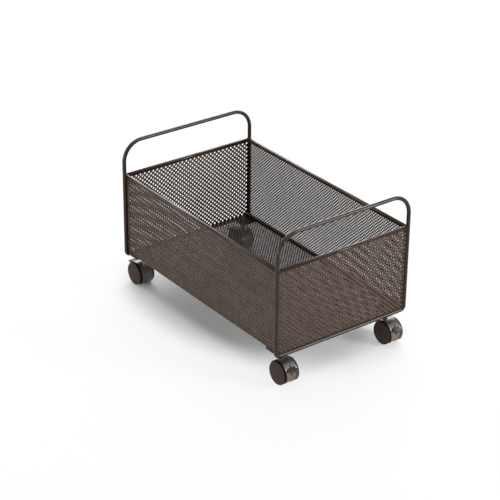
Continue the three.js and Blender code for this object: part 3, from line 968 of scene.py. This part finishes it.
def plate_mesh(ex, sy):
    """A pressed plate with a lip, for the corner with these signs, about its own outer corner."""
    low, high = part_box("front_right_plate")
    length = high.x - low.x
    width = high.y - low.y
    outline = rounded([
        (0, 0, PLATE_OUTER_ROUND),
        (PLATE_CLIP - length, 0, PLATE_ROUND),
        (-length, -PLATE_CLIP, PLATE_ROUND),
        (-length, PLATE_CLIP - width, PLATE_ROUND),
        (PLATE_CLIP - length, -width, PLATE_ROUND),
        (0, -width, PLATE_OUTER_ROUND),
    ], closed=True)
    stem = middle("front_right_stem")
    hole = drum("hole", STUD_HOLE_R, -PLATE_T, 2 * PLATE_T, TURNED_STEPS)
    hole.transform(Matrix.Translation((stem.x - high.x, stem.y - high.y, 0)))
    mesh = combine("plate", prism("sheet", outline, 0, PLATE_T, upright=True), [
        ("UNION", block("lip", (PLATE_CLIP - length, -PLATE_LIP, 0), (0, 0, high.z - low.z))),
        ("DIFFERENCE", hole),
    ], EDGE_ROUND)
    mesh.transform(Matrix.Diagonal((ex, sy, 1, 1)))
    if ex * sy < 0:
        mesh.flip_normals()
    return mesh


def build_casters():
    hood = hood_mesh()
    lever = lever_mesh()
    wheel = wheel_mesh()
    axle = rod_mesh("axle", AXLE_R, AXLE_HALF, AXLE_CHAMFER)
    pin = rod_mesh("pin", PIN_R, PIN_HALF, PIN_CHAMFER)
    stem = stem_mesh()
    nut = nut_mesh()
    for end, ex in ENDS:
        turn = Matrix.Rotation(0 if ex > 0 else math.pi, 4, "Z")
        for side, sy in SIDES:
            corner = f"{end}_{side}"
            swivel = f"{corner}_swivel"
            centre = middle(f"{corner}_axle")
            at_axle = Matrix.Translation(centre) @ turn
            put(f"{corner}_hood_shell", hood, swivel, "hood_plastic", [f"{corner}_hood"], at_axle)
            put(f"{corner}_axle_rod", axle, swivel, "bare_steel", [f"{corner}_axle"], at_axle)
            at_pin = Matrix.Translation(middle(f"{corner}_lever_pin"))
            put(f"{corner}_pin_rod", pin, swivel, "bare_steel", [f"{corner}_lever_pin"], at_pin)
            pedal = f"{corner}_lever"
            put(f"{corner}_brake_lever", lever, f"{pedal}_body", "hood_plastic", [pedal], at_axle)
            for which in ("outer", "inner"):
                node = f"{corner}_{which}_wheel"
                half_turn = math.pi if middle(node).y < centre.y else 0
                at_wheel = Matrix.Translation(centre) @ Matrix.Rotation(half_turn, 4, "Z")
                put(f"{node}_disc", wheel, f"{node}_body", "wheel_plastic", [node], at_wheel)
            spot = middle(f"{corner}_stem")
            at_stem = Matrix.Translation((spot.x, spot.y, 0))
            put(f"{corner}_stem_pin", stem, "frame", "bare_steel", [f"{corner}_stem"], at_stem)
            at_nut = Matrix.Translation((spot.x, spot.y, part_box(f"{corner}_nut")[0].z))
            put(f"{corner}_weld_nut", nut, "frame", "bare_steel", [f"{corner}_nut"], at_nut)
            low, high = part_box(f"{corner}_plate")
            outer = Vector((high.x if ex > 0 else low.x, high.y if sy > 0 else low.y, low.z))
            plate = plate_mesh(ex, sy)
            at_plate = Matrix.Translation(outer)
            put(f"{corner}_corner_plate", plate, "frame", "coated_tube", [f"{corner}_plate"], at_plate)


# Stage, lights and camera

FLOOR_SIZE = 30
FLOOR_COLOUR = (0.97, 0.97, 0.97, 1)
FLOOR_GLOW = 0.8  # share of plain white in the open floor that the camera and reflections see
# Below and behind the cart the added white fades out, so the floor there is darker: painted shade on top
# of the real shadow
SHADE_CENTRE = Vector((-0.09, 0.05, 0))  # of the patch below and behind the cart where that share fades
SHADE_HALF = Vector((0.40, 0.27, 1))
SHADE_CORE = 0.35  # how far in from the patch's edge nothing is left of it, as a share
WORLD_LEVEL = 0.13
TARGET = Vector((0, 0, 0.15))
# Each lamp's name, place, width, height and power in watts
LAMPS = (
    ("top", (-0.2, 0.1, 2.1), 2.0, 2.0, 32),
    ("back", (-1.95, 1.43, 1.2), 2.6, 1.9, 60),
    ("side", (1.75, 1.1, 0.75), 0.6, 0.9, 24),
    ("fill", (0.4, -2.2, 0.35), 1.2, 0.8, 20),
)
CAMERA_PLACE = Vector((2.2951, -1.7537, 1.6303))
CAMERA_AZIMUTH = math.radians(53.046)
CAMERA_ELEVATION = math.radians(27.480)
CAMERA_ROLL = math.radians(0.595)
CAMERA_LENS = 126.304
CAMERA_SENSOR = 36


def math_node(tree, operation, first, second):
    node = add_node(tree, "ShaderNodeMath", [(0, first), (1, second)], operation=operation)
    return node.outputs[0]


def seen_directly(tree):
    """1 on camera, mirror and see-through rays, and 0 on the rays that light the object."""
    path = add_node(tree, "ShaderNodeLightPath")
    total = path.outputs["Is Camera Ray"]
    for kind in ("Is Glossy Ray", "Is Transmission Ray"):
        total = math_node(tree, "MAXIMUM", total, path.outputs[kind])
    return total


def build_stage():
    """A pale floor adding plain white where the camera sees it, but not in a painted shade patch below
    the cart.
    """
    half = FLOOR_SIZE / 2
    corners = [(-half, -half, 0), (half, -half, 0), (half, half, 0), (-half, half, 0)]
    floor = bpy.data.objects.new("floor", mesh_from("floor", corners, [(0, 1, 2, 3)], smooth=False))
    bpy.context.scene.collection.objects.link(floor)
    material = bpy.data.materials.new("floor")
    material.use_nodes = True
    tree = material.node_tree
    tree.nodes.remove(tree.nodes["Principled BSDF"])
    lit = add_node(tree, "ShaderNodeBsdfDiffuse")
    lit.inputs["Color"].default_value = FLOOR_COLOUR
    glow = add_node(tree, "ShaderNodeEmission")
    place = add_node(tree, "ShaderNodeTexCoord").outputs["Object"]
    # Patch below and behind the cart where the added white fades out: painted shade
    patch = add_node(tree, "ShaderNodeMapping", [("Vector", place)])
    patch.vector_type = "TEXTURE"
    patch.inputs["Location"].default_value = SHADE_CENTRE
    patch.inputs["Scale"].default_value = SHADE_HALF
    fade = add_node(tree, "ShaderNodeTexGradient", [("Vector", patch.outputs[0])])
    fade.gradient_type = "SPHERICAL"
    open_share = add_node(tree, "ShaderNodeMapRange", [("Value", fade.outputs["Fac"])])
    open_share.interpolation_type = "SMOOTHSTEP"
    open_share.inputs["From Max"].default_value = SHADE_CORE
    open_share.inputs["To Min"].default_value = FLOOR_GLOW
    open_share.inputs["To Max"].default_value = 0
    share = math_node(tree, "MULTIPLY", seen_directly(tree), open_share.outputs[0])
    layers = [(0, share), (1, lit.outputs[0]), (2, glow.outputs[0])]
    mix = add_node(tree, "ShaderNodeMixShader", layers)
    tree.links.new(mix.outputs[0], tree.nodes["Material Output"].inputs["Surface"])
    floor.data.materials.append(material)


def build_world():
    world = bpy.data.worlds.new("studio")
    world.use_nodes = True
    tree = world.node_tree
    background = tree.nodes["Background"]
    background.inputs["Color"].default_value = WHITE
    strength = add_node(tree, "ShaderNodeMapRange", links=[("Value", seen_directly(tree))])
    strength.inputs["To Min"].default_value = WORLD_LEVEL
    strength.inputs["To Max"].default_value = 1
    tree.links.new(strength.outputs[0], background.inputs["Strength"])
    bpy.context.scene.world = world


def softbox(name, place, width, height, power):
    lamp = bpy.data.lights.new(name, "AREA")
    lamp.shape = "RECTANGLE"
    lamp.size = width
    lamp.size_y = height
    lamp.energy = power
    holder = bpy.data.objects.new(name, lamp)
    holder.location = place
    holder.rotation_euler = (TARGET - Vector(place)).to_track_quat("-Z", "Y").to_euler()
    bpy.context.scene.collection.objects.link(holder)


def build_camera():
    azimuth, elevation, roll = CAMERA_AZIMUTH, CAMERA_ELEVATION, CAMERA_ROLL
    back = Vector((
        math.sin(azimuth) * math.cos(elevation),
        -math.cos(azimuth) * math.cos(elevation),
        math.sin(elevation),
    ))
    level = Vector((math.cos(azimuth), math.sin(azimuth), 0))
    up = back.cross(level)
    right = math.cos(roll) * level + math.sin(roll) * up
    top = math.cos(roll) * up - math.sin(roll) * level
    camera = bpy.data.cameras.new("camera")
    camera.lens = CAMERA_LENS
    camera.sensor_width = CAMERA_SENSOR
    holder = bpy.data.objects.new("camera", camera)
    axes = Matrix((right, top, back)).transposed()
    holder.matrix_world = Matrix.Translation(CAMERA_PLACE) @ axes.to_4x4()
    bpy.context.scene.collection.objects.link(holder)
    bpy.context.scene.camera = holder


build_tubes()
build_nets()
build_casters()
build_stage()
build_world()
for lamp in LAMPS:
    softbox(*lamp)
build_camera()
bpy.context.scene.view_settings.view_transform = "Standard"
